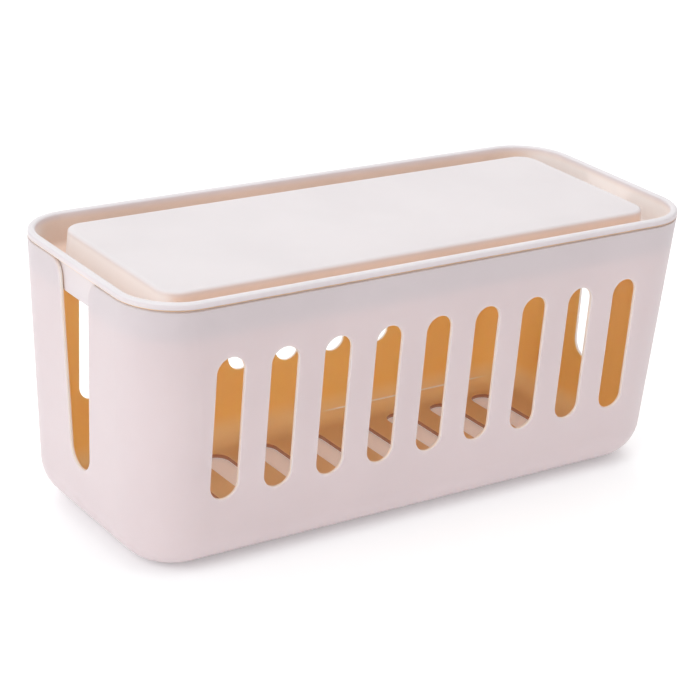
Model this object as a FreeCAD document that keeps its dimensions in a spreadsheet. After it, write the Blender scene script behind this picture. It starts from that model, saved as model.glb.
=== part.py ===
"""Desktop box that hides a power strip and its cords.

A long moulded tub with drafted walls has nine upright slots in each long wall, nine slots in
its floor and a cord notch in each end wall. A lift-off lid lies on the rim of the tub: a flush
rim, a deep channel all round and a raised flat middle.

Frame: millimetres, +X along the length, +Z up, the front long wall faces -Y. The origin is the
centre of the underside, so the tub stands on the plane z = 0.
"""
import FreeCAD
import Part
import Sketcher
import math
import os

V = FreeCAD.Vector
NEAR = 0.01

# Driving dimensions: cell alias and value, in millimetres, degrees for the drafts and the taper.
DIMENSIONS = [
    ("overall_length", 303.0),
    ("overall_width", 127.4),
    ("overall_height", 130.0),
    ("rim_height", 3.4),
    ("end_draft", 3.1),
    ("side_draft", 1.9),
    ("corner_radius", 27.0),
    ("bottom_radius", 20.0),
    ("wall", 2.0),
    ("slot_width", 14.0),
    ("slot_count", 9),
    ("slot_end_margin", 42.6),
    ("slot_low", 35.0),
    ("slot_rim_gap", 24.4),
    ("floor_slot_setback", 23.6),
    ("notch_low", 31.8),
    ("notch_round", 9.0),
    ("notch_taper", 3.0),
    ("notch_flare", 8.0),
    ("opening_edge", 0.5),
    ("lid_clearance", 0.3),
    ("skirt_thickness", 1.1),
    ("skirt_depth", 14.0),
    ("lid_thickness", 1.8),
    ("channel_draft", 4.0),
    ("plateau_end_inset", 18.6),
    ("plateau_side_inset", 15.9),
    ("plateau_drop", 1.0),
    ("plateau_corner", 9.8),
    ("plateau_edge", 1.6),
    ("channel_round", 3.0),
    ("rim_round", 1.2),
    ("seam_round", 0.9),
]
DRAWN = dict(DIMENSIONS)

# Lengths that several features share, as expressions on the sheet.
BODY_HEIGHT = "(sheet.overall_height - sheet.rim_height)"
SKIRT_OFFSET = "(sheet.wall + sheet.lid_clearance)"
RIM_WIDTH = "(sheet.wall + sheet.lid_clearance + sheet.skirt_thickness)"
SKIRT_LOW = "(sheet.overall_height - sheet.rim_height - sheet.skirt_depth)"
HOLLOW_TOP = "(sheet.overall_height - sheet.plateau_drop - sheet.lid_thickness)"

doc = FreeCAD.newDocument("cable_box")
sheet = doc.addObject("Spreadsheet::Sheet", "sheet")
for row, (alias, value) in enumerate(DIMENSIONS, start=1):
    sheet.set("A%d" % row, alias)
    sheet.set("B%d" % row, str(value))
    sheet.setAlias("B%d" % row, alias)
doc.recompute()


def new_body(name):
    """An empty body whose label names its file."""
    body = doc.addObject("PartDesign::Body", name)
    body.Label = name
    return body


def new_sketch(body, name, role, height=None):
    """A sketch on one of the body's origin planes, raised along its normal when asked."""
    planes = [feature for feature in body.Origin.OriginFeatures if feature.Role == role]
    sketch = body.newObject("Sketcher::SketchObject", name)
    sketch.AttachmentSupport = [(planes[0], "")]
    sketch.MapMode = "FlatFace"
    if height is not None:
        sketch.setExpression("AttachmentOffset.Base.z", height)
    return sketch


def drive(sketch, name, expression, *constraint):
    """Add a driving constraint, name it and tie it to the sheet."""
    index = sketch.addConstraint(Sketcher.Constraint(*constraint))
    sketch.renameConstraint(index, name)
    sketch.setExpression("Constraints." + name, expression)


def rectangle(sketch, length, width):
    """A centred rectangle driven by two expressions on the sheet."""
    half_x = DRAWN["overall_length"] / 2
    half_y = DRAWN["overall_width"] / 2
    corners = [V(-half_x, -half_y, 0), V(half_x, -half_y, 0),
               V(half_x, half_y, 0), V(-half_x, half_y, 0)]
    for number in range(4):
        sketch.addGeometry(Part.LineSegment(corners[number], corners[(number + 1) % 4]))
    for number, direction in enumerate(("Horizontal", "Vertical", "Horizontal", "Vertical")):
        following = (number + 1) % 4
        sketch.addConstraint(Sketcher.Constraint("Coincident", number, 2, following, 1))
        sketch.addConstraint(Sketcher.Constraint(direction, number))
    sketch.addConstraint(Sketcher.Constraint("Symmetric", 0, 1, 1, 2, -1, 1))
    drive(sketch, "length", length, "DistanceX", 0, 1, 0, 2, 2 * half_x)
    drive(sketch, "width", width, "DistanceY", 1, 1, 1, 2, 2 * half_y)


def rounded_rectangle(sketch, prefix, length, width, radius):
    """A centred rectangle with round corners, driven by three expressions on the sheet."""
    half_x = DRAWN["overall_length"] / 2
    half_y = DRAWN["overall_width"] / 2
    r = DRAWN["corner_radius"] / 2
    first = sketch.GeometryCount
    sketch.addGeometry(Part.LineSegment(V(-half_x + r, half_y, 0), V(half_x - r, half_y, 0)))
    sketch.addGeometry(Part.LineSegment(V(half_x, half_y - r, 0), V(half_x, -half_y + r, 0)))
    sketch.addGeometry(Part.LineSegment(V(half_x - r, -half_y, 0), V(-half_x + r, -half_y, 0)))
    sketch.addGeometry(Part.LineSegment(V(-half_x, -half_y + r, 0), V(-half_x, half_y - r, 0)))
    for turn, side_x, side_y in ((0, 1, 1), (3, 1, -1), (2, -1, -1), (1, -1, 1)):
        centre = V(side_x * (half_x - r), side_y * (half_y - r), 0)
        circle = Part.Circle(centre, V(0, 0, 1), r)
        arc = Part.ArcOfCircle(circle, turn * math.pi / 2, (turn + 1) * math.pi / 2)
        sketch.addGeometry(arc)
    for side in range(4):
        arc = first + 4 + side
        following = first + (side + 1) % 4
        sketch.addConstraint(Sketcher.Constraint("Tangent", first + side, 2, arc, 2))
        sketch.addConstraint(Sketcher.Constraint("Tangent", arc, 1, following, 1))
        if side:
            sketch.addConstraint(Sketcher.Constraint("Equal", first + 4, arc))
    sketch.addConstraint(Sketcher.Constraint("Symmetric", first, 1, first, 2, -2))
    sketch.addConstraint(Sketcher.Constraint("Symmetric", first + 1, 1, first + 1, 2, -1))
    sketch.addConstraint(Sketcher.Constraint("Horizontal", first + 2))
    sketch.addConstraint(Sketcher.Constraint("Vertical", first + 3))
    drive(sketch, prefix + "_length", length,
          "DistanceX", first + 3, 1, first + 1, 2, 2 * half_x)
    drive(sketch, prefix + "_width", width,
          "DistanceY", first + 2, 1, first, 2, 2 * half_y)
    drive(sketch, prefix + "_radius", radius, "Radius", first + 4, r)


def upright_slot(sketch, centre_x, low, high, width):
    """A slot with round ends along the sketch's Y axis; the four arguments are expressions."""
    r = DRAWN["slot_width"] / 2
    x = -DRAWN["overall_length"] / 3
    y = DRAWN["slot_low"]
    sketch.addGeometry(Part.LineSegment(V(x - r, -y, 0), V(x - r, y, 0)))
    sketch.addGeometry(Part.LineSegment(V(x + r, y, 0), V(x + r, -y, 0)))
    top = Part.Circle(V(x, y, 0), V(0, 0, 1), r)
    sketch.addGeometry(Part.ArcOfCircle(top, 0, math.pi))
    bottom = Part.Circle(V(x, -y, 0), V(0, 0, 1), r)
    sketch.addGeometry(Part.ArcOfCircle(bottom, math.pi, 2 * math.pi))
    sketch.addConstraint(Sketcher.Constraint("Tangent", 0, 2, 2, 2))
    sketch.addConstraint(Sketcher.Constraint("Tangent", 2, 1, 1, 1))
    sketch.addConstraint(Sketcher.Constraint("Tangent", 1, 2, 3, 2))
    sketch.addConstraint(Sketcher.Constraint("Tangent", 3, 1, 0, 1))
    sketch.addConstraint(Sketcher.Constraint("Vertical", 0))
    sketch.addConstraint(Sketcher.Constraint("Vertical", 1))
    drive(sketch, "half_width", width + " / 2", "Radius", 2, r)
    drive(sketch, "centre", centre_x, "DistanceX", -1, 1, 2, 3, x)
    drive(sketch, "high", "(%s) - %s / 2" % (high, width), "DistanceY", -1, 1, 2, 3, y)
    drive(sketch, "low", "(%s) + %s / 2" % (low, width), "DistanceY", -1, 1, 3, 3, -y)


def notch_outline(sketch):
    """The cord notch: round bottom, sides that widen upwards, flared where they meet the rim."""
    r = DRAWN["notch_round"]
    flare = DRAWN["notch_flare"]
    low = DRAWN["notch_low"] + r
    rim = DRAWN["overall_height"] - DRAWN["rim_height"]
    taper = math.radians(DRAWN["notch_taper"])
    reach = r + (rim - flare - low) * math.tan(taper)
    side_low = V(r * math.cos(taper), low - r * math.sin(taper), 0)
    side_high = V(reach, rim - flare, 0)
    bottom = Part.Circle(V(0, low, 0), V(0, 0, 1), r)
    sketch.addGeometry(Part.ArcOfCircle(bottom, math.pi + taper, 2 * math.pi - taper))
    sketch.addGeometry(Part.LineSegment(side_low, side_high))
    right = Part.Circle(V(reach + flare, rim - flare, 0), V(0, 0, 1), flare)
    sketch.addGeometry(Part.ArcOfCircle(right, math.pi / 2, math.pi - taper))
    sketch.addGeometry(Part.LineSegment(V(reach + flare, rim, 0), V(reach + flare, rim + 2, 0)))
    sketch.addGeometry(
        Part.LineSegment(V(reach + flare, rim + 2, 0), V(-reach - flare, rim + 2, 0)))
    sketch.addGeometry(Part.LineSegment(V(-reach - flare, rim + 2, 0), V(-reach - flare, rim, 0)))
    left = Part.Circle(V(-reach - flare, rim - flare, 0), V(0, 0, 1), flare)
    sketch.addGeometry(Part.ArcOfCircle(left, taper, math.pi / 2))
    sketch.addGeometry(Part.LineSegment(V(-side_high.x, side_high.y, 0),
                                        V(-side_low.x, side_low.y, 0)))
    sketch.addConstraint(Sketcher.Constraint("Tangent", 0, 2, 1, 1))
    sketch.addConstraint(Sketcher.Constraint("Tangent", 1, 2, 2, 2))
    sketch.addConstraint(Sketcher.Constraint("Coincident", 2, 1, 3, 1))
    sketch.addConstraint(Sketcher.Constraint("Coincident", 3, 2, 4, 1))
    sketch.addConstraint(Sketcher.Constraint("Coincident", 4, 2, 5, 1))
    sketch.addConstraint(Sketcher.Constraint("Coincident", 5, 2, 6, 2))
    sketch.addConstraint(Sketcher.Constraint("Tangent", 6, 1, 7, 1))
    sketch.addConstraint(Sketcher.Constraint("Tangent", 7, 2, 0, 1))
    sketch.addConstraint(Sketcher.Constraint("Equal", 2, 6))
    sketch.addConstraint(Sketcher.Constraint("PointOnObject", 0, 3, -2))
    sketch.addConstraint(Sketcher.Constraint("Symmetric", 2, 3, 6, 3, -2))
    sketch.addConstraint(Sketcher.Constraint("Vertical", 2, 3, 2, 1))
    sketch.addConstraint(Sketcher.Constraint("Vertical", 6, 3, 6, 2))
    sketch.addConstraint(Sketcher.Constraint("Vertical", 3))
    sketch.addConstraint(Sketcher.Constraint("Vertical", 5))
    sketch.addConstraint(Sketcher.Constraint("Horizontal", 4))
    drive(sketch, "round", "sheet.notch_round", "Radius", 0, r)
    drive(sketch, "flare", "sheet.notch_flare", "Radius", 2, flare)
    drive(sketch, "low", "sheet.notch_low + sheet.notch_round", "DistanceY", -1, 1, 0, 3, low)
    drive(sketch, "rim", BODY_HEIGHT, "DistanceY", -1, 1, 2, 1, rim)
    drive(sketch, "over", BODY_HEIGHT + " + sheet.rim_height", "DistanceY", -1, 1, 3, 2, rim + 2)
    drive(sketch, "taper", "(90 - sheet.notch_taper) * 1 deg",
          "Angle", -1, 1, 1, 1, math.pi / 2 - taper)


def extrude(body, kind, name, sketch, length, upwards=True, taper=None):
    """A pad or a pocket of a sketch, its length and taper tied to the sheet."""
    feature = body.newObject("PartDesign::" + kind, name)
    feature.Profile = sketch
    feature.Reversed = upwards if kind == "Pocket" else not upwards
    if length is None:
        feature.Type = "ThroughAll"
        feature.Midplane = True
    else:
        feature.setExpression("Length", length)
    if taper is not None:
        feature.setExpression("TaperAngle", taper)
    sketch.Visibility = False
    doc.recompute()
    return feature


def row_of(body, name, feature, sketch):
    """Repeat a slot along X from one end margin to the other."""
    row_feature = body.newObject("PartDesign::LinearPattern", name)
    row_feature.Originals = [feature]
    row_feature.Direction = (sketch, ["H_Axis"])
    row_feature.setExpression("Length", "sheet.overall_length - 2 * sheet.slot_end_margin")
    row_feature.setExpression("Occurrences", "sheet.slot_count")
    body.Tip = row_feature
    doc.recompute()
    return row_feature


def face_names(feature, test):
    """Names of the faces for which the test holds."""
    faces = enumerate(feature.Shape.Faces, start=1)
    return ["Face%d" % number for number, face in faces if test(face)]


def edge_names(feature, test):
    """Names of the edges for which the test holds."""
    edges = enumerate(feature.Shape.Edges, start=1)
    return ["Edge%d" % number for number, edge in edges if test(edge)]


def lies_at(edge, height):
    """Whether a whole edge lies at this height."""
    box = edge.BoundBox
    return abs(box.ZMin - height) < NEAR and abs(box.ZMax - height) < NEAR


def fillet(body, name, base, edges, radius):
    """A fillet on the named edges, its radius tied to the sheet."""
    if not edges:
        raise RuntimeError("no edges for " + name)
    feature = body.newObject("PartDesign::Fillet", name)
    feature.Base = (base, edges)
    feature.setExpression("Radius", radius)
    body.Tip = feature
    doc.recompute()
    return feature


def rim_face(feature):
    """The flat face at rim level."""
    return face_names(feature, lambda face: abs(face.BoundBox.ZMin - rim_level) < NEAR)


def draft(body, name, base, faces, angle, inner):
    """Lean the named wall faces in towards the bottom, turning about the rim."""
    feature = body.newObject("PartDesign::Draft", name)
    feature.Base = (base, faces)
    feature.NeutralPlane = (base, rim_face(base))
    feature.setExpression("Angle", angle)
    feature.Reversed = not inner
    body.Tip = feature
    doc.recompute()
    return feature


def wall_faces(feature, across, inner):
    """The inner or outer faces of the end walls (across) or of the long walls."""
    half = cell("overall_length") / 2 if across else cell("overall_width") / 2

    def chosen(face):
        normal = face.normalAt(0, 0)
        box = face.BoundBox
        reach = max(abs(box.XMin), abs(box.XMax)) if across else max(abs(box.YMin), abs(box.YMax))
        faces_it = abs(normal.x) > 0.9 if across else abs(normal.y) > 0.9
        return faces_it and (reach < half - NEAR) == inner
    return face_names(feature, chosen)


def corner_edges(feature, inner):
    """The four leaning corner edges of the cavity, or of the outside."""
    def chosen(edge):
        middle = edge.valueAt((edge.FirstParameter + edge.LastParameter) / 2)
        size = edge.BoundBox
        inside = abs(middle.x) + abs(middle.y) < reach
        return size.ZLength > rim_level / 2 and inside == inner

    lean = rim_level / 2 * (math.tan(math.radians(cell("end_draft")))
                            + math.tan(math.radians(cell("side_draft"))))
    reach = (cell("overall_length") + cell("overall_width")) / 2 - lean - cell("wall")
    return edge_names(feature, chosen)


def cell(alias):
    """The value of a cell as a plain number."""
    return float(sheet.get(alias))


def loop_depth(point):
    """How far a point at rim level lies inside the overall rounded rectangle."""
    r = cell("corner_radius")
    across = abs(point.x) - (cell("overall_length") / 2 - r)
    along = abs(point.y) - (cell("overall_width") / 2 - r)
    if across > 0 and along > 0:
        return r - math.hypot(across, along)
    return r - max(across, along)


def loop_edges(feature, height, least, most):
    """Edges at one height whose middle lies between two depths inside the overall outline."""
    def chosen(edge):
        middle = edge.valueAt((edge.FirstParameter + edge.LastParameter) / 2)
        return lies_at(edge, height) and least < loop_depth(middle) < most
    return edge_names(feature, chosen)


def borders_opening(edge):
    """Whether an edge runs round a wall slot or a notch, or along the outside of the rim."""
    middle = edge.valueAt((edge.FirstParameter + edge.LastParameter) / 2)
    size = edge.BoundBox
    if size.ZLength > NEAR and middle.z > cell("notch_low") - NEAR:
        flat_end = cell("overall_length") / 2 - cell("corner_radius")
        in_long_wall = abs(middle.x) < flat_end
        in_end_wall = abs(middle.y) < cell("overall_width") / 2 - cell("corner_radius")
        return in_long_wall or in_end_wall
    return lies_at(edge, rim_level) and abs(loop_depth(middle)) < NEAR


# ---------------------------------------------------------------------------------- box body
rim_level = cell("overall_height") - cell("rim_height")
box = new_body("box_body")

blank_sketch = new_sketch(box, "blank_outline", "XY_Plane")
rectangle(blank_sketch, "sheet.overall_length", "sheet.overall_width")
blank = extrude(box, "Pad", "blank", blank_sketch, BODY_HEIGHT)

cavity_sketch = new_sketch(box, "cavity_outline", "XY_Plane", BODY_HEIGHT)
rectangle(cavity_sketch, "sheet.overall_length - 2 * sheet.wall",
          "sheet.overall_width - 2 * sheet.wall")
cavity = extrude(box, "Pocket", "cavity", cavity_sketch, BODY_HEIGHT + " - sheet.wall",
                 upwards=False)

cavity_ends = draft(box, "cavity_end_draft", cavity, wall_faces(cavity, True, True),
                    "sheet.end_draft", inner=True)
cavity_sides = draft(box, "cavity_side_draft", cavity_ends, wall_faces(cavity_ends, False, True),
                     "sheet.side_draft", inner=True)
outer_ends = draft(box, "end_draft", cavity_sides, wall_faces(cavity_sides, True, False),
                   "sheet.end_draft", inner=False)
walls_leaned = draft(box, "side_draft", outer_ends, wall_faces(outer_ends, False, False),
                     "sheet.side_draft", inner=False)

cavity_corners = fillet(box, "cavity_corner_rounds", walls_leaned,
                        corner_edges(walls_leaned, True),
                        "sheet.corner_radius - sheet.wall")
cavity_floor = edge_names(cavity_corners, lambda edge: lies_at(edge, cell("wall")))
cavity_rounded = fillet(box, "cavity_bottom_rounds", cavity_corners, cavity_floor,
                        "sheet.bottom_radius - sheet.wall")

outer_corners = fillet(box, "corner_rounds", cavity_rounded,
                       corner_edges(cavity_rounded, False), "sheet.corner_radius")
underside = edge_names(outer_corners, lambda edge: lies_at(edge, 0))
shell = fillet(box, "bottom_rounds", outer_corners, underside, "sheet.bottom_radius")

wall_sketch = new_sketch(box, "wall_slot_outline", "XZ_Plane")
upright_slot(wall_sketch, "sheet.slot_end_margin - sheet.overall_length / 2",
             "sheet.slot_low", BODY_HEIGHT + " - sheet.slot_rim_gap", "sheet.slot_width")
wall_slot = extrude(box, "Pocket", "wall_slot", wall_sketch, None)
wall_slots = row_of(box, "wall_slots", wall_slot, wall_sketch)

floor_sketch = new_sketch(box, "floor_slot_outline", "XY_Plane")
upright_slot(floor_sketch, "sheet.slot_end_margin - sheet.overall_length / 2",
             "sheet.floor_slot_setback - sheet.overall_width / 2",
             "sheet.overall_width / 2 - sheet.floor_slot_setback", "sheet.slot_width")
floor_slot = extrude(box, "Pocket", "floor_slot", floor_sketch, "sheet.bottom_radius")
floor_slots = row_of(box, "floor_slots", floor_slot, floor_sketch)

notch_sketch = new_sketch(box, "notch_outline", "YZ_Plane")
notch_outline(notch_sketch)
notches = extrude(box, "Pocket", "cord_notches", notch_sketch, None)

wall_edges = edge_names(notches, borders_opening)
box_finished = fillet(box, "opening_rounds", notches, wall_edges, "sheet.opening_edge")

# --------------------------------------------------------------------------------------- lid
lid = new_body("lid")

rim_sketch = new_sketch(lid, "rim_outline", "XY_Plane", BODY_HEIGHT)
rounded_rectangle(rim_sketch, "rim", "sheet.overall_length", "sheet.overall_width",
                  "sheet.corner_radius")
rim_plate = extrude(lid, "Pad", "rim_plate", rim_sketch, "sheet.rim_height")

skirt_sketch = new_sketch(lid, "skirt_outline", "XY_Plane", BODY_HEIGHT)
rounded_rectangle(skirt_sketch, "skirt", "sheet.overall_length - 2 * " + SKIRT_OFFSET,
                  "sheet.overall_width - 2 * " + SKIRT_OFFSET,
                  "sheet.corner_radius - " + SKIRT_OFFSET)
skirt = extrude(lid, "Pad", "skirt", skirt_sketch, "sheet.skirt_depth",
                upwards=False, taper="-1 * sheet.end_draft")

channel_sketch = new_sketch(lid, "channel_outline", "XY_Plane", "sheet.overall_height")
rounded_rectangle(channel_sketch, "channel", "sheet.overall_length - 2 * " + RIM_WIDTH,
                  "sheet.overall_width - 2 * " + RIM_WIDTH,
                  "sheet.corner_radius - " + RIM_WIDTH)
channel = extrude(lid, "Pocket", "channel", channel_sketch,
                  "sheet.rim_height + sheet.skirt_depth - sheet.lid_thickness",
                  upwards=False, taper="-1 * sheet.channel_draft")

plateau_sketch = new_sketch(lid, "plateau_outline", "XY_Plane",
                            "sheet.overall_height - sheet.plateau_drop")
rounded_rectangle(plateau_sketch, "plateau",
                  "sheet.overall_length - 2 * sheet.plateau_end_inset",
                  "sheet.overall_width - 2 * sheet.plateau_side_inset",
                  "sheet.plateau_corner")
plateau = extrude(lid, "Pad", "plateau", plateau_sketch,
                  "sheet.rim_height + sheet.skirt_depth - sheet.plateau_drop",
                  upwards=False, taper="sheet.channel_draft")

hollow_sketch = new_sketch(lid, "hollow_outline", "XY_Plane", HOLLOW_TOP)
rounded_rectangle(hollow_sketch, "hollow",
                  "sheet.overall_length - 2 * sheet.plateau_end_inset - 2 * sheet.lid_thickness",
                  "sheet.overall_width - 2 * sheet.plateau_side_inset - 2 * sheet.lid_thickness",
                  "sheet.plateau_corner - sheet.lid_thickness")
hollow = extrude(lid, "Pocket", "hollow", hollow_sketch,
                 HOLLOW_TOP + " - " + SKIRT_LOW, upwards=False, taper="sheet.channel_draft")

channel_level = rim_level - cell("skirt_depth") + cell("lid_thickness")
floor_edges = edge_names(hollow, lambda edge: lies_at(edge, channel_level))
channel_rounded = fillet(lid, "channel_rounds", hollow, floor_edges, "sheet.channel_round")
plateau_level = cell("overall_height") - cell("plateau_drop")
plateau_edges = edge_names(channel_rounded, lambda edge: lies_at(edge, plateau_level))
plateau_rounded = fillet(lid, "plateau_rounds", channel_rounded, plateau_edges,
                         "sheet.plateau_edge")
top_edges = edge_names(plateau_rounded, lambda edge: lies_at(edge, cell("overall_height")))
rim_rounded = fillet(lid, "rim_rounds", plateau_rounded, top_edges, "sheet.rim_round")
under_edges = loop_edges(rim_rounded, rim_level, -NEAR, NEAR)
lid_finished = fillet(lid, "lower_rim_round", rim_rounded, under_edges, "sheet.seam_round")

# ------------------------------------------------------------------------------------ output
doc.recompute()
for item in doc.Objects:
    if "Invalid" in item.State or "Error" in item.State:
        raise RuntimeError("%s failed: %s" % (item.Label, item.State))
for body in (box, lid):
    if body.Shape.isNull() or not body.Shape.isValid() or len(body.Shape.Solids) != 1:
        raise RuntimeError(body.Label + " is not one valid solid")

os.makedirs("parts", exist_ok=True)
for body in (box, lid):
    body.Shape.exportStep(os.path.join("parts", body.Label + ".step"))
    print(body.Label, round(body.Shape.Volume, 1))
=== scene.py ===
"""Finishes, stage and camera for a moulded cable box with a lift-off lid.

Laid out as an add-on and run as a script: each operator dresses one piece or sets the stage,
and the property groups hold the colours and sizes that a user would change.
"""

import math

import bmesh
import bpy
from bpy.props import FloatProperty, FloatVectorProperty, PointerProperty
from mathutils import Matrix, Vector


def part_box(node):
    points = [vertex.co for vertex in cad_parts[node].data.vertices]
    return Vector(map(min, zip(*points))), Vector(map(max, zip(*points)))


bl_info = {
    "name": "Cable Box Finishes",
    "version": (1, 0, 0),
    "blender": (4, 5, 0),
    "location": "View3D > Sidebar > Cable Box",
    "description": "Moulded plastic finishes and a plain studio for a cable box",
    "category": "Material",
}

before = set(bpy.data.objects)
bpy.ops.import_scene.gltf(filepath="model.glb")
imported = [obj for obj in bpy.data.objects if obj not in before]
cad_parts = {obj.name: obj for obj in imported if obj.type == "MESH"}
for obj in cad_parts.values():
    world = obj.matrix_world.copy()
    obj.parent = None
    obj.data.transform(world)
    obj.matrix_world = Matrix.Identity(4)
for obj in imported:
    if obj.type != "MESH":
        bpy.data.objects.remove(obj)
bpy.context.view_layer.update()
BOX_LOW, BOX_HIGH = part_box("box_body")
LID_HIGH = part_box("lid")[1]

# Lengths are in metres. Most pairs say where a mask starts and where it is full.

# Rounded boxes that follow the walls of the two pieces and give their outward direction.
BOX_CENTRE = (0.0, 0.0, 0.066)
BOX_HALF_SIZE = (BOX_HIGH.x - 0.003, BOX_HIGH.y - 0.0025, 0.067)
LID_CENTRE = (0.0, 0.0, LID_HIGH.z - 0.030)
LID_HALF_SIZE = (LID_HIGH.x - 0.002, LID_HIGH.y - 0.002, 0.030)

# How far a surface faces outwards: 1 is straight out and -1 is straight in.
INSIDE_FACING = (-0.10, -0.55)
OUTSIDE_FACING = (0.05, 0.80)
HOLLOW_FACING = (-0.10, -0.50)
INWARD_FACING = (0.45, 0.05)
SEAM_SHADE_FACING = (0.05, 0.30)

# The painted seam shade reaches this far above and below the rim, and is weaker on the ends,
# which catch more light. The lid's share of it starts a lap below the rim.
SEAM_SHADE_REACH = 0.0010
SEAM_SHADE_LAP = 0.0002
SEAM_SHADE_ENDWAYS = (0.3, 0.9)
SEAM_SHADE_ON_ENDS = 0.4
SEAM_SHADE_UPRIGHT = (0.95, 0.70)

# The cut edges of the floor slots, which get a painted shadow, the floor inside, which gets its
# own painted glow, and a painted highlight line low on the long walls, which runs between two
# places along the length.
FLOOR_EDGE_HEIGHTS = (0.022, 0.012)
INNER_FLOOR_FADE = 0.008
HIGHLIGHT_LINE_HEIGHT = 0.0058
HIGHLIGHT_LINE_WIDTH = 0.0003
HIGHLIGHT_LINE_SOFTNESS = 0.0002
HIGHLIGHT_LINE_RUN = (0.030, 0.110)
HIGHLIGHT_LINE_RUN_SOFTNESS = 0.015

# The lid: how far in from its edge the raised flat starts, and how deep the channel's painted
# shade is.
# Upward faces get painted light, the channel's end walls too, and the underside a painted glow.
FLAT_INSET = (0.0125, 0.0145)
CHANNEL_DEPTHS = (0.0004, 0.0045)
LEAST_SHADE = 0.3
WALL_UPRIGHT = (0.8, 0.2)
WALL_SHARE = 0.6
END_WALLS = (0.4, 0.9)
UNDERSIDE = (-0.3, -0.7)

# The surface of the plastic.
PLASTIC_IOR = 1.49
PLASTIC_SPECULAR = 0.4
FLOW_SIZE = 0.060
FLOW_RANGE = (0.3, 0.7)
FLOW_SHADES = (0.975, 1.015)
WEAR_SIZE = 0.018
SATIN_RANGE = (0.6, 1.4)
SATIN_BELOW = 0.05
SATIN_ABOVE = 0.06
GRAIN_STRENGTH = 0.5

# The studio. The floor lies a small gap below the box, and the camera's angles are its azimuth,
# elevation and roll in degrees.
FLOOR_GAP = 0.0002
FLOOR_HALF_WIDTH = 8.0
FLOOR_ROUGHNESS = 0.7
FLOOR_SPECULAR = 0.2
WHITE = (1.0, 1.0, 1.0)
LIGHT_AIM = (0.0, 0.0, 0.06)
KEY_PLACE, KEY_SIZE, KEY_COLOUR = (-1.7, -0.5, 1.3), 1.4, (0.93, 0.98, 1.0)
BACK_PLACE, BACK_SIZE = (0.6, 1.6, 0.6), 1.4
TOP_PLACE, TOP_SIZE, TOP_COLOUR = (0.2, -0.1, 2.0), 1.8, (1.0, 0.99, 0.98)
CAMERA_ANGLES = (-35.655, 22.330, 3.763)
CAMERA_DISTANCE = 1.02733
CAMERA_AIM = (0.0, 0.0, 0.065)
CAMERA_SHIFT_RIGHT = -0.00322
CAMERA_SHIFT_UP = -0.0025
CAMERA_SENSOR = 36.0
CAMERA_CLIP = (0.05, 50.0)


def colour_property(name, description, default):
    """A colour swatch without alpha."""
    return FloatVectorProperty(
        name=name, description=description, subtype="COLOR", size=3, min=0.0, max=1.0,
        default=default)


class PlasticSettings(bpy.types.PropertyGroup):
    """Colours and surface of the moulded plastic."""

    outer: colour_property(
        "Outer Colour", "Colour of the outer walls", (0.680, 0.590, 0.610))
    # Painted shade in the groove where the lid lies on the box, on the rounded edges of both
    # pieces.
    seam: colour_property(
        "Seam Colour", "Tone of the rounded edges that meet where the lid lies on the box",
        (0.450, 0.330, 0.295))
    # Painted glow: the inside of the box and the underside of the lid get the warm light that the
    # walls pass and bounce to each other.
    inner: colour_property(
        "Inner Colour", "Warm tone of the inside, where the walls light each other",
        (0.970, 0.565, 0.255))
    # Painted glow of the floor inside, paler than the glow of the walls.
    inner_floor_glow: colour_property(
        "Inner Floor Colour", "Tone of the floor inside", (0.970, 0.650, 0.400))
    # Painted shadow on the cut edges of the floor slots.
    floor_edge_shade: colour_property(
        "Floor Edge Colour", "Tone of the cut edges of the floor slots", (0.500, 0.270, 0.170))
    # Painted highlight on the thin cut edges round slots and notches, also used for the highlight
    # line low inside.
    edge: colour_property(
        "Edge Colour", "Paler tone of the thin edges round slots and notches",
        (0.960, 0.850, 0.780))
    # A paler copy of the outer colour, given to the lid's upward faces: painted light from above.
    lid: colour_property(
        "Lid Colour", "Colour of the raised flat of the lid", (0.750, 0.710, 0.728))
    lit_end: colour_property(
        "Lit End Colour", "Tone of the end walls of the channel, which catch the most light",
        (0.930, 0.860, 0.830))
    # Painted shade and bounced light in the channel of the lid.
    channel: colour_property(
        "Channel Colour", "Tone of the walls and floor of the channel in the lid",
        (0.870, 0.690, 0.590))
    glow: FloatProperty(
        name="Glow", description="Share of the light that passes into the box", min=0.0,
        max=1.0, subtype="FACTOR", default=0.75)
    lid_glow: FloatProperty(
        name="Lid Glow", description="Share of the light that passes into the lid", min=0.0,
        max=1.0, subtype="FACTOR", default=0.35)
    glow_depth: FloatProperty(
        name="Glow Depth", description="How far light travels inside the plastic",
        subtype="DISTANCE", unit="LENGTH", min=0.0, max=0.05, default=0.006)
    roughness: FloatProperty(
        name="Roughness", description="Satin finish of the plastic", min=0.0, max=1.0,
        subtype="FACTOR", default=0.46)
    grain_size: FloatProperty(
        name="Grain Size", description="Width of one grain of the spark-eroded texture",
        subtype="DISTANCE", unit="LENGTH", min=0.0001, max=0.01, default=0.0006)
    grain_height: FloatProperty(
        name="Grain Height", description="Height of the texture", subtype="DISTANCE",
        unit="LENGTH", min=0.0, max=0.001, default=0.00003)


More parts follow.
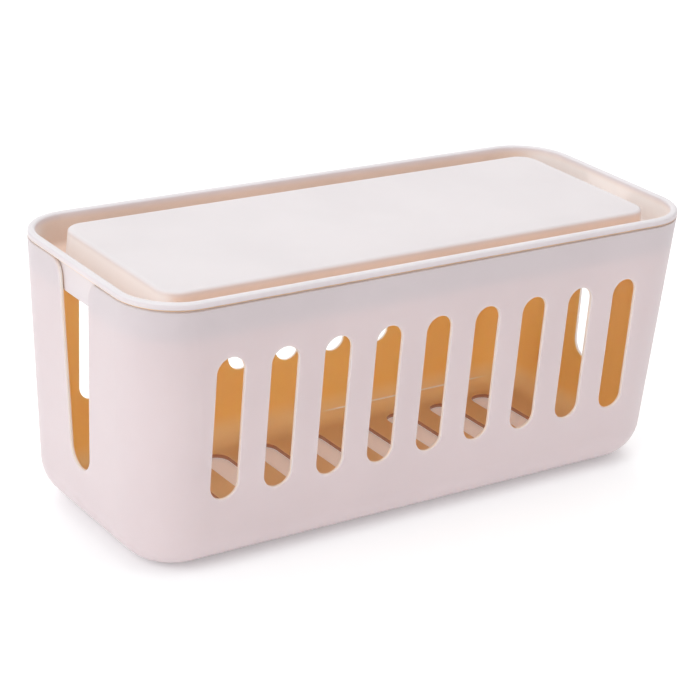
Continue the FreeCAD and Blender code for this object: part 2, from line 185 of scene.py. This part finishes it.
class StageSettings(bpy.types.PropertyGroup):
    """Floor, lights and camera of the studio."""

    floor: colour_property("Floor Colour", "Colour of the plain floor", (0.96, 0.96, 0.96))
    floor_glow: FloatProperty(
        name="Floor Glow", description="Light of the floor itself, which softens the shadow",
        min=0.0, max=1.0, default=0.15)
    sky: FloatProperty(
        name="Sky Strength", description="Brightness of the white surroundings",
        min=0.0, max=10.0, default=0.60)
    key: FloatProperty(
        name="Key Power", description="Power of the large soft light on the left",
        subtype="POWER", unit="POWER", min=0.0, max=1000.0, default=16.5)
    top: FloatProperty(
        name="Top Power", description="Power of the large soft light above",
        subtype="POWER", unit="POWER", min=0.0, max=1000.0, default=10.8)
    back: FloatProperty(
        name="Back Power", description="Power of the soft light that shines through from behind",
        subtype="POWER", unit="POWER", min=0.0, max=1000.0, default=20.0)
    lens: FloatProperty(
        name="Lens", description="Focal length of the camera", subtype="DISTANCE_CAMERA",
        min=10.0, max=400.0, default=111.45)


# ------------------------------------------------------------------------------ node helpers
def add_node(tree, kind, **settings):
    """A node of this kind with its own settings applied."""
    node = tree.nodes.new(kind)
    for name, value in settings.items():
        setattr(node, name, value)
    return node


def feed(tree, socket, value):
    """Link an output to a socket, or set the socket to a plain value."""
    if isinstance(value, bpy.types.NodeSocket):
        tree.links.new(value, socket)
    elif isinstance(value, (tuple, list, Vector)) and len(value) == 3 and socket.type == "RGBA":
        socket.default_value = (*value, 1.0)
    else:
        socket.default_value = value


def vector_math(tree, operation, *inputs):
    """The result of a difference, product, dot product and the like of vectors."""
    node = add_node(tree, "ShaderNodeVectorMath", operation=operation)
    for socket, value in zip(node.inputs, inputs):
        feed(tree, socket, value)
    return node.outputs["Value" if operation == "DOT_PRODUCT" else "Vector"]


def number_math(tree, operation, *inputs):
    """The result of a sum, product and the like."""
    node = add_node(tree, "ShaderNodeMath", operation=operation)
    for socket, value in zip(node.inputs, inputs):
        feed(tree, socket, value)
    return node.outputs["Value"]


def product(tree, *factors):
    """All of these numbers multiplied together."""
    result = factors[0]
    for factor in factors[1:]:
        result = number_math(tree, "MULTIPLY", result, factor)
    return result


def opposite(tree, share):
    """1 where the share is 0, and 0 where it is 1."""
    return number_math(tree, "SUBTRACT", 1.0, share)


def ramp(tree, value, low, high, start=0.0, end=1.0):
    """Ease a number from start to end while value goes from low to high."""
    node = add_node(tree, "ShaderNodeMapRange", interpolation_type="SMOOTHSTEP")
    for name, given in (("Value", value), ("From Min", low), ("From Max", high),
                        ("To Min", start), ("To Max", end)):
        feed(tree, node.inputs[name], given)
    return node.outputs["Result"]


def blend_colour(tree, factor, first, second):
    """The first colour where factor is 0 and the second where it is 1."""
    node = add_node(tree, "ShaderNodeMix", data_type="RGBA")
    feed(tree, node.inputs["Factor"], factor)
    colour_inputs = [socket for socket in node.inputs if socket.type == "RGBA"]
    for socket, colour in zip(colour_inputs, (first, second)):
        feed(tree, socket, colour)
    return next(out for out in node.outputs if out.type == "RGBA")


def noise(tree, vector, size, detail, roughness=0.5):
    """Noise with features of about this size, in metres."""
    node = add_node(tree, "ShaderNodeTexNoise")
    feed(tree, node.inputs["Vector"], vector)
    node.inputs["Scale"].default_value = 1.0 / size
    node.inputs["Detail"].default_value = detail
    node.inputs["Roughness"].default_value = roughness
    return node.outputs["Fac"]


def facing_out(tree, centre, half_size):
    """1 where a surface faces away from the middle of the box, -1 where it faces inwards.

    A rounded box of this centre and half size gives the outward direction at each point.
    """
    place = add_node(tree, "ShaderNodeTexCoord")
    offset = vector_math(tree, "SUBTRACT", place.outputs["Object"], centre)
    share = vector_math(tree, "DIVIDE", offset, half_size)
    squared = vector_math(tree, "MULTIPLY", share, share)
    fourth = vector_math(tree, "MULTIPLY", squared, squared)
    sixth = vector_math(tree, "MULTIPLY", fourth, squared)
    seventh = vector_math(tree, "MULTIPLY", sixth, share)
    outward = vector_math(tree, "NORMALIZE", vector_math(tree, "DIVIDE", seventh, half_size))
    return vector_math(tree, "DOT_PRODUCT", outward, place.outputs["Normal"])


def moulded_plastic(name, settings, colour_of, glow):
    """Satin moulded plastic: a fine eroded grain, faint flow marks and light that passes in."""
    material = bpy.data.materials.new(name)
    material.use_nodes = True
    tree = material.node_tree
    tree.nodes.clear()
    place = add_node(tree, "ShaderNodeTexCoord").outputs["Object"]
    shader = add_node(tree, "ShaderNodeBsdfPrincipled")
    output = add_node(tree, "ShaderNodeOutputMaterial")
    tree.links.new(shader.outputs["BSDF"], output.inputs["Surface"])

    colour = colour_of(tree, settings)
    flow = noise(tree, place, FLOW_SIZE, detail=3.0)
    shade = ramp(tree, flow, *FLOW_RANGE, *FLOW_SHADES)
    scaled = add_node(tree, "ShaderNodeVectorMath", operation="SCALE")
    tree.links.new(colour, scaled.inputs["Vector"])
    tree.links.new(shade, scaled.inputs["Scale"])
    tree.links.new(scaled.outputs["Vector"], shader.inputs["Base Color"])

    grain = noise(tree, place, settings.grain_size, detail=3.0, roughness=0.6)
    worn = noise(tree, place, WEAR_SIZE, detail=4.0)
    satin = ramp(tree, number_math(tree, "ADD", grain, worn), *SATIN_RANGE,
                 settings.roughness - SATIN_BELOW, settings.roughness + SATIN_ABOVE)
    tree.links.new(satin, shader.inputs["Roughness"])

    bump = add_node(tree, "ShaderNodeBump")
    bump.inputs["Strength"].default_value = GRAIN_STRENGTH
    bump.inputs["Distance"].default_value = settings.grain_height
    tree.links.new(grain, bump.inputs["Height"])
    tree.links.new(bump.outputs["Normal"], shader.inputs["Normal"])

    shader.inputs["IOR"].default_value = PLASTIC_IOR
    shader.inputs["Specular IOR Level"].default_value = PLASTIC_SPECULAR
    shader.inputs["Subsurface Weight"].default_value = glow
    shader.inputs["Subsurface Radius"].default_value = (1.0, 1.0, 1.0)
    shader.inputs["Subsurface Scale"].default_value = settings.glow_depth
    return material


def band(tree, value, low, high, soft):
    """1 while value lies between low and high, with soft ends of this width."""
    rising = ramp(tree, value, low - soft, low)
    falling = ramp(tree, value, high + soft, high)
    return product(tree, rising, falling)


def split(tree, output_name):
    """The three numbers of the object's own coordinates, or of its normal."""
    place = add_node(tree, "ShaderNodeTexCoord")
    parts = add_node(tree, "ShaderNodeSeparateXYZ")
    tree.links.new(place.outputs[output_name], parts.inputs["Vector"])
    return parts.outputs


def seam_shade_share(tree, normal):
    """How dark the painted seam shade is: full on the long walls, less on the ends, which catch
    more light, none on flat tops.
    """
    endways = ramp(tree, number_math(tree, "ABSOLUTE", normal["X"]), *SEAM_SHADE_ENDWAYS,
                   1.0, SEAM_SHADE_ON_ENDS)
    return product(tree, endways, ramp(tree, normal["Z"], *SEAM_SHADE_UPRIGHT))


def box_colour(tree, settings):
    """Outer walls, a painted warm glow inside, painted highlights and shadows on the cut edges
    round the openings and painted shade at the rim seam.
    """
    facing = facing_out(tree, BOX_CENTRE, BOX_HALF_SIZE)
    point = split(tree, "Object")
    height = point["Z"]
    inside = ramp(tree, facing, *INSIDE_FACING)
    cut_edge = opposite(tree, ramp(tree, facing, *OUTSIDE_FACING))

    # Cut edges get a painted highlight, which turns into the painted shadow of the floor slots'
    # edges low down.
    low = ramp(tree, height, *FLOOR_EDGE_HEIGHTS)
    edge_highlight_and_shade = blend_colour(tree, low, tuple(settings.edge), tuple(settings.floor_edge_shade))
    walls = blend_colour(tree, cut_edge, tuple(settings.outer), edge_highlight_and_shade)
    # Painted shade on the rounded edge just below the rim, where the lid lies.
    below_rim = ramp(tree, height, BOX_HIGH.z - SEAM_SHADE_REACH, BOX_HIGH.z - SEAM_SHADE_REACH / 4)
    rim = product(tree, below_rim, seam_shade_share(tree, split(tree, "Normal")))
    walls = blend_colour(tree, rim, walls, tuple(settings.seam))

    # Painted warm glow on every inward face, paler towards the floor.
    deep = ramp(tree, height, HIGHLIGHT_LINE_HEIGHT + INNER_FLOOR_FADE, HIGHLIGHT_LINE_HEIGHT)
    warm = blend_colour(tree, deep, tuple(settings.inner), tuple(settings.inner_floor_glow))
    # A painted highlight line low on the inner walls, between two places along the length.
    line = band(tree, height, HIGHLIGHT_LINE_HEIGHT, HIGHLIGHT_LINE_HEIGHT + HIGHLIGHT_LINE_WIDTH, HIGHLIGHT_LINE_SOFTNESS)
    run = band(tree, point["X"], *HIGHLIGHT_LINE_RUN, HIGHLIGHT_LINE_RUN_SOFTNESS)
    warm = blend_colour(tree, product(tree, line, run), warm, tuple(settings.edge))
    return blend_colour(tree, inside, walls, warm)


def lid_seam_shade(tree, point, normal, facing, middle):
    """Where painted shade darkens the lid's lower rim edge: close above the box and outside the
    channel.
    """
    near_seam = ramp(tree, point["Z"], BOX_HIGH.z + SEAM_SHADE_REACH, BOX_HIGH.z + SEAM_SHADE_REACH / 4)
    above_box = ramp(tree, point["Z"], BOX_HIGH.z - SEAM_SHADE_LAP, BOX_HIGH.z)
    return product(tree, near_seam, above_box, ramp(tree, facing, *SEAM_SHADE_FACING),
                   seam_shade_share(tree, normal), opposite(tree, middle))


def lid_colour(tree, settings):
    """Painted light on the top, rim and channel end walls, painted shade and bounced light in the
    channel, painted shade at the seam and a painted warm glow underneath.
    """
    point = split(tree, "Object")
    normal = split(tree, "Normal")
    facing = facing_out(tree, LID_CENTRE, LID_HALF_SIZE)
    from_end = number_math(tree, "SUBTRACT", LID_HIGH.x,
                           number_math(tree, "ABSOLUTE", point["X"]))
    from_side = number_math(tree, "SUBTRACT", LID_HIGH.y,
                            number_math(tree, "ABSOLUTE", point["Y"]))
    middle = ramp(tree, number_math(tree, "MINIMUM", from_end, from_side), *FLAT_INSET)
    sunken = ramp(tree, point["Z"], *(LID_HIGH.z - depth for depth in CHANNEL_DEPTHS))
    inward = ramp(tree, facing, *INWARD_FACING)

    # Painted light from above: upward faces take the paler lid colour, upright faces a share of
    # the outer colour.
    upright = ramp(tree, normal["Z"], *WALL_UPRIGHT, 0.0, WALL_SHARE)
    top = blend_colour(tree, upright, tuple(settings.lid), tuple(settings.outer))

    # Painted shade in the channel: on the rim's inner faces and the raised flat's sides, less on
    # the flat's ends.
    sideways = number_math(tree, "ABSOLUTE", normal["Y"])
    shaded = product(tree, middle, ramp(tree, sideways, 0.0, 1.0, LEAST_SHADE, 1.0))
    channel_shade_mask = product(tree, sunken, number_math(tree, "MAXIMUM", inward, shaded))
    top = blend_colour(tree, channel_shade_mask, top, tuple(settings.channel))

    # Painted light on the end walls of the channel.
    endways = ramp(tree, number_math(tree, "ABSOLUTE", normal["X"]), *END_WALLS)
    ends = product(tree, number_math(tree, "MAXIMUM", middle, inward), sunken, endways)
    top = blend_colour(tree, ends, top, tuple(settings.lit_end))
    # Painted shade at the seam, on the lid's lower rim edge.
    seam = lid_seam_shade(tree, point, normal, facing, middle)
    top = blend_colour(tree, seam, top, tuple(settings.seam))

    # Painted warm glow on the lid's underside and inside its raised flat.
    hollow = product(tree, middle, ramp(tree, facing, *HOLLOW_FACING))
    under = number_math(tree, "MAXIMUM", hollow, ramp(tree, normal["Z"], *UNDERSIDE))
    return blend_colour(tree, under, top, tuple(settings.inner))


def dress(node_name, material):
    """Give a CAD node this material in every slot."""
    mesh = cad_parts[node_name].data
    mesh.materials.clear()
    mesh.materials.append(material)


# ----------------------------------------------------------------------------------- stage
def soft_light(name, place, size, power, colour, mirrored=True):
    """A square soft light that points at the box; unless mirrored, no gloss shows it."""
    lamp = bpy.data.lights.new(name, "AREA")
    lamp.shape = "SQUARE"
    lamp.size = size
    lamp.energy = power
    lamp.color = colour
    light = bpy.data.objects.new(name, lamp)
    bpy.context.scene.collection.objects.link(light)
    light.location = place
    light.rotation_euler = (Vector(LIGHT_AIM) - Vector(place)).to_track_quat("-Z", "Y").to_euler()
    light.visible_glossy = mirrored


def plain_floor(settings):
    """A wide plain floor under the box."""
    mesh = bpy.data.meshes.new("studio_floor")
    shape = bmesh.new()
    below = Matrix.Translation((0.0, 0.0, BOX_LOW.z - FLOOR_GAP))
    bmesh.ops.create_grid(shape, x_segments=1, y_segments=1, size=FLOOR_HALF_WIDTH,
                             matrix=below)
    shape.to_mesh(mesh)
    shape.free()
    floor = bpy.data.objects.new("studio_floor", mesh)
    bpy.context.scene.collection.objects.link(floor)
    material = bpy.data.materials.new("pale_floor")
    material.use_nodes = True
    shader = material.node_tree.nodes["Principled BSDF"]
    shader.inputs["Base Color"].default_value = (*settings.floor, 1.0)
    shader.inputs["Roughness"].default_value = FLOOR_ROUGHNESS
    shader.inputs["Specular IOR Level"].default_value = FLOOR_SPECULAR
    shader.inputs["Emission Color"].default_value = (*WHITE, 1.0)
    shader.inputs["Emission Strength"].default_value = settings.floor_glow
    mesh.materials.append(material)


def studio_camera(settings):
    """A long lens a metre away, above the front left corner, tipped a little to one side."""
    azimuth, elevation, roll = (math.radians(angle) for angle in CAMERA_ANGLES)
    back = Vector((math.sin(azimuth) * math.cos(elevation),
                   -math.cos(azimuth) * math.cos(elevation), math.sin(elevation)))
    right = Vector((math.cos(azimuth), math.sin(azimuth), 0.0))
    up = back.cross(right)
    tipped_right = right * math.cos(roll) + up * math.sin(roll)
    tipped_up = up * math.cos(roll) - right * math.sin(roll)
    place = Vector(CAMERA_AIM) + back * CAMERA_DISTANCE
    place += tipped_right * CAMERA_SHIFT_RIGHT + tipped_up * CAMERA_SHIFT_UP
    data = bpy.data.cameras.new("studio_camera")
    data.sensor_width = CAMERA_SENSOR
    data.lens = settings.lens
    data.clip_start, data.clip_end = CAMERA_CLIP
    camera = bpy.data.objects.new("studio_camera", data)
    bpy.context.scene.collection.objects.link(camera)
    turn = Matrix((tipped_right, tipped_up, back)).transposed().to_4x4()
    camera.matrix_world = Matrix.Translation(place) @ turn
    bpy.context.scene.camera = camera


# ------------------------------------------------------------------------------- operators
class CABLEBOX_OT_set_stage(bpy.types.Operator):
    """Make the floor, the soft lights, the white surroundings and the camera"""

    bl_idname = "cablebox.set_stage"
    bl_label = "Set Stage"

    def execute(self, context):
        settings = context.scene.cablebox_stage
        studio_camera(settings)
        plain_floor(settings)
        soft_light("key_light", KEY_PLACE, KEY_SIZE, settings.key, KEY_COLOUR)
        soft_light("back_light", BACK_PLACE, BACK_SIZE, settings.back, WHITE, mirrored=False)
        soft_light("top_light", TOP_PLACE, TOP_SIZE, settings.top, TOP_COLOUR)
        world = bpy.data.worlds.new("white_surroundings")
        context.scene.world = world
        world.use_nodes = True
        background = world.node_tree.nodes["Background"]
        background.inputs["Color"].default_value = (*WHITE, 1.0)
        background.inputs["Strength"].default_value = settings.sky
        context.scene.view_settings.view_transform = "Standard"
        return {"FINISHED"}


class CABLEBOX_OT_finish_box(bpy.types.Operator):
    """Give the box its satin moulded plastic"""

    bl_idname = "cablebox.finish_box"
    bl_label = "Finish Box"

    def execute(self, context):
        settings = context.scene.cablebox_plastic
        dress("box_body", moulded_plastic("box_plastic", settings, box_colour, settings.glow))
        return {"FINISHED"}


class CABLEBOX_OT_finish_lid(bpy.types.Operator):
    """Give the lid its satin moulded plastic"""

    bl_idname = "cablebox.finish_lid"
    bl_label = "Finish Lid"

    def execute(self, context):
        settings = context.scene.cablebox_plastic
        dress("lid", moulded_plastic("lid_plastic", settings, lid_colour, settings.lid_glow))
        return {"FINISHED"}


class CABLEBOX_PT_panel(bpy.types.Panel):
    """The settings and the operators that use them"""

    bl_idname = "CABLEBOX_PT_panel"
    bl_label = "Cable Box"
    bl_space_type = "VIEW_3D"
    bl_region_type = "UI"
    bl_category = "Cable Box"

    def draw(self, context):
        for owner, title in ((context.scene.cablebox_plastic, "Plastic"),
                             (context.scene.cablebox_stage, "Stage")):
            box = self.layout.box()
            box.label(text=title)
            for name in owner.bl_rna.properties.keys():
                if name not in ("rna_type", "name"):
                    box.prop(owner, name)
        for operator in OPERATORS:
            self.layout.operator(operator.bl_idname)


OPERATORS = (CABLEBOX_OT_set_stage, CABLEBOX_OT_finish_box, CABLEBOX_OT_finish_lid)
CLASSES = (PlasticSettings, StageSettings, *OPERATORS, CABLEBOX_PT_panel)


def register():
    """Register the classes and hang the settings on the scene."""
    for kind in CLASSES:
        bpy.utils.register_class(kind)
    bpy.types.Scene.cablebox_plastic = PointerProperty(type=PlasticSettings)
    bpy.types.Scene.cablebox_stage = PointerProperty(type=StageSettings)


def unregister():
    """Take everything that register added away again."""
    del bpy.types.Scene.cablebox_stage
    del bpy.types.Scene.cablebox_plastic
    for kind in reversed(CLASSES):
        bpy.utils.unregister_class(kind)


def main():
    """Register the classes and run every operator in order."""
    register()
    bpy.ops.cablebox.set_stage()
    bpy.ops.cablebox.finish_box()
    bpy.ops.cablebox.finish_lid()


if __name__ == "__main__":
    main()
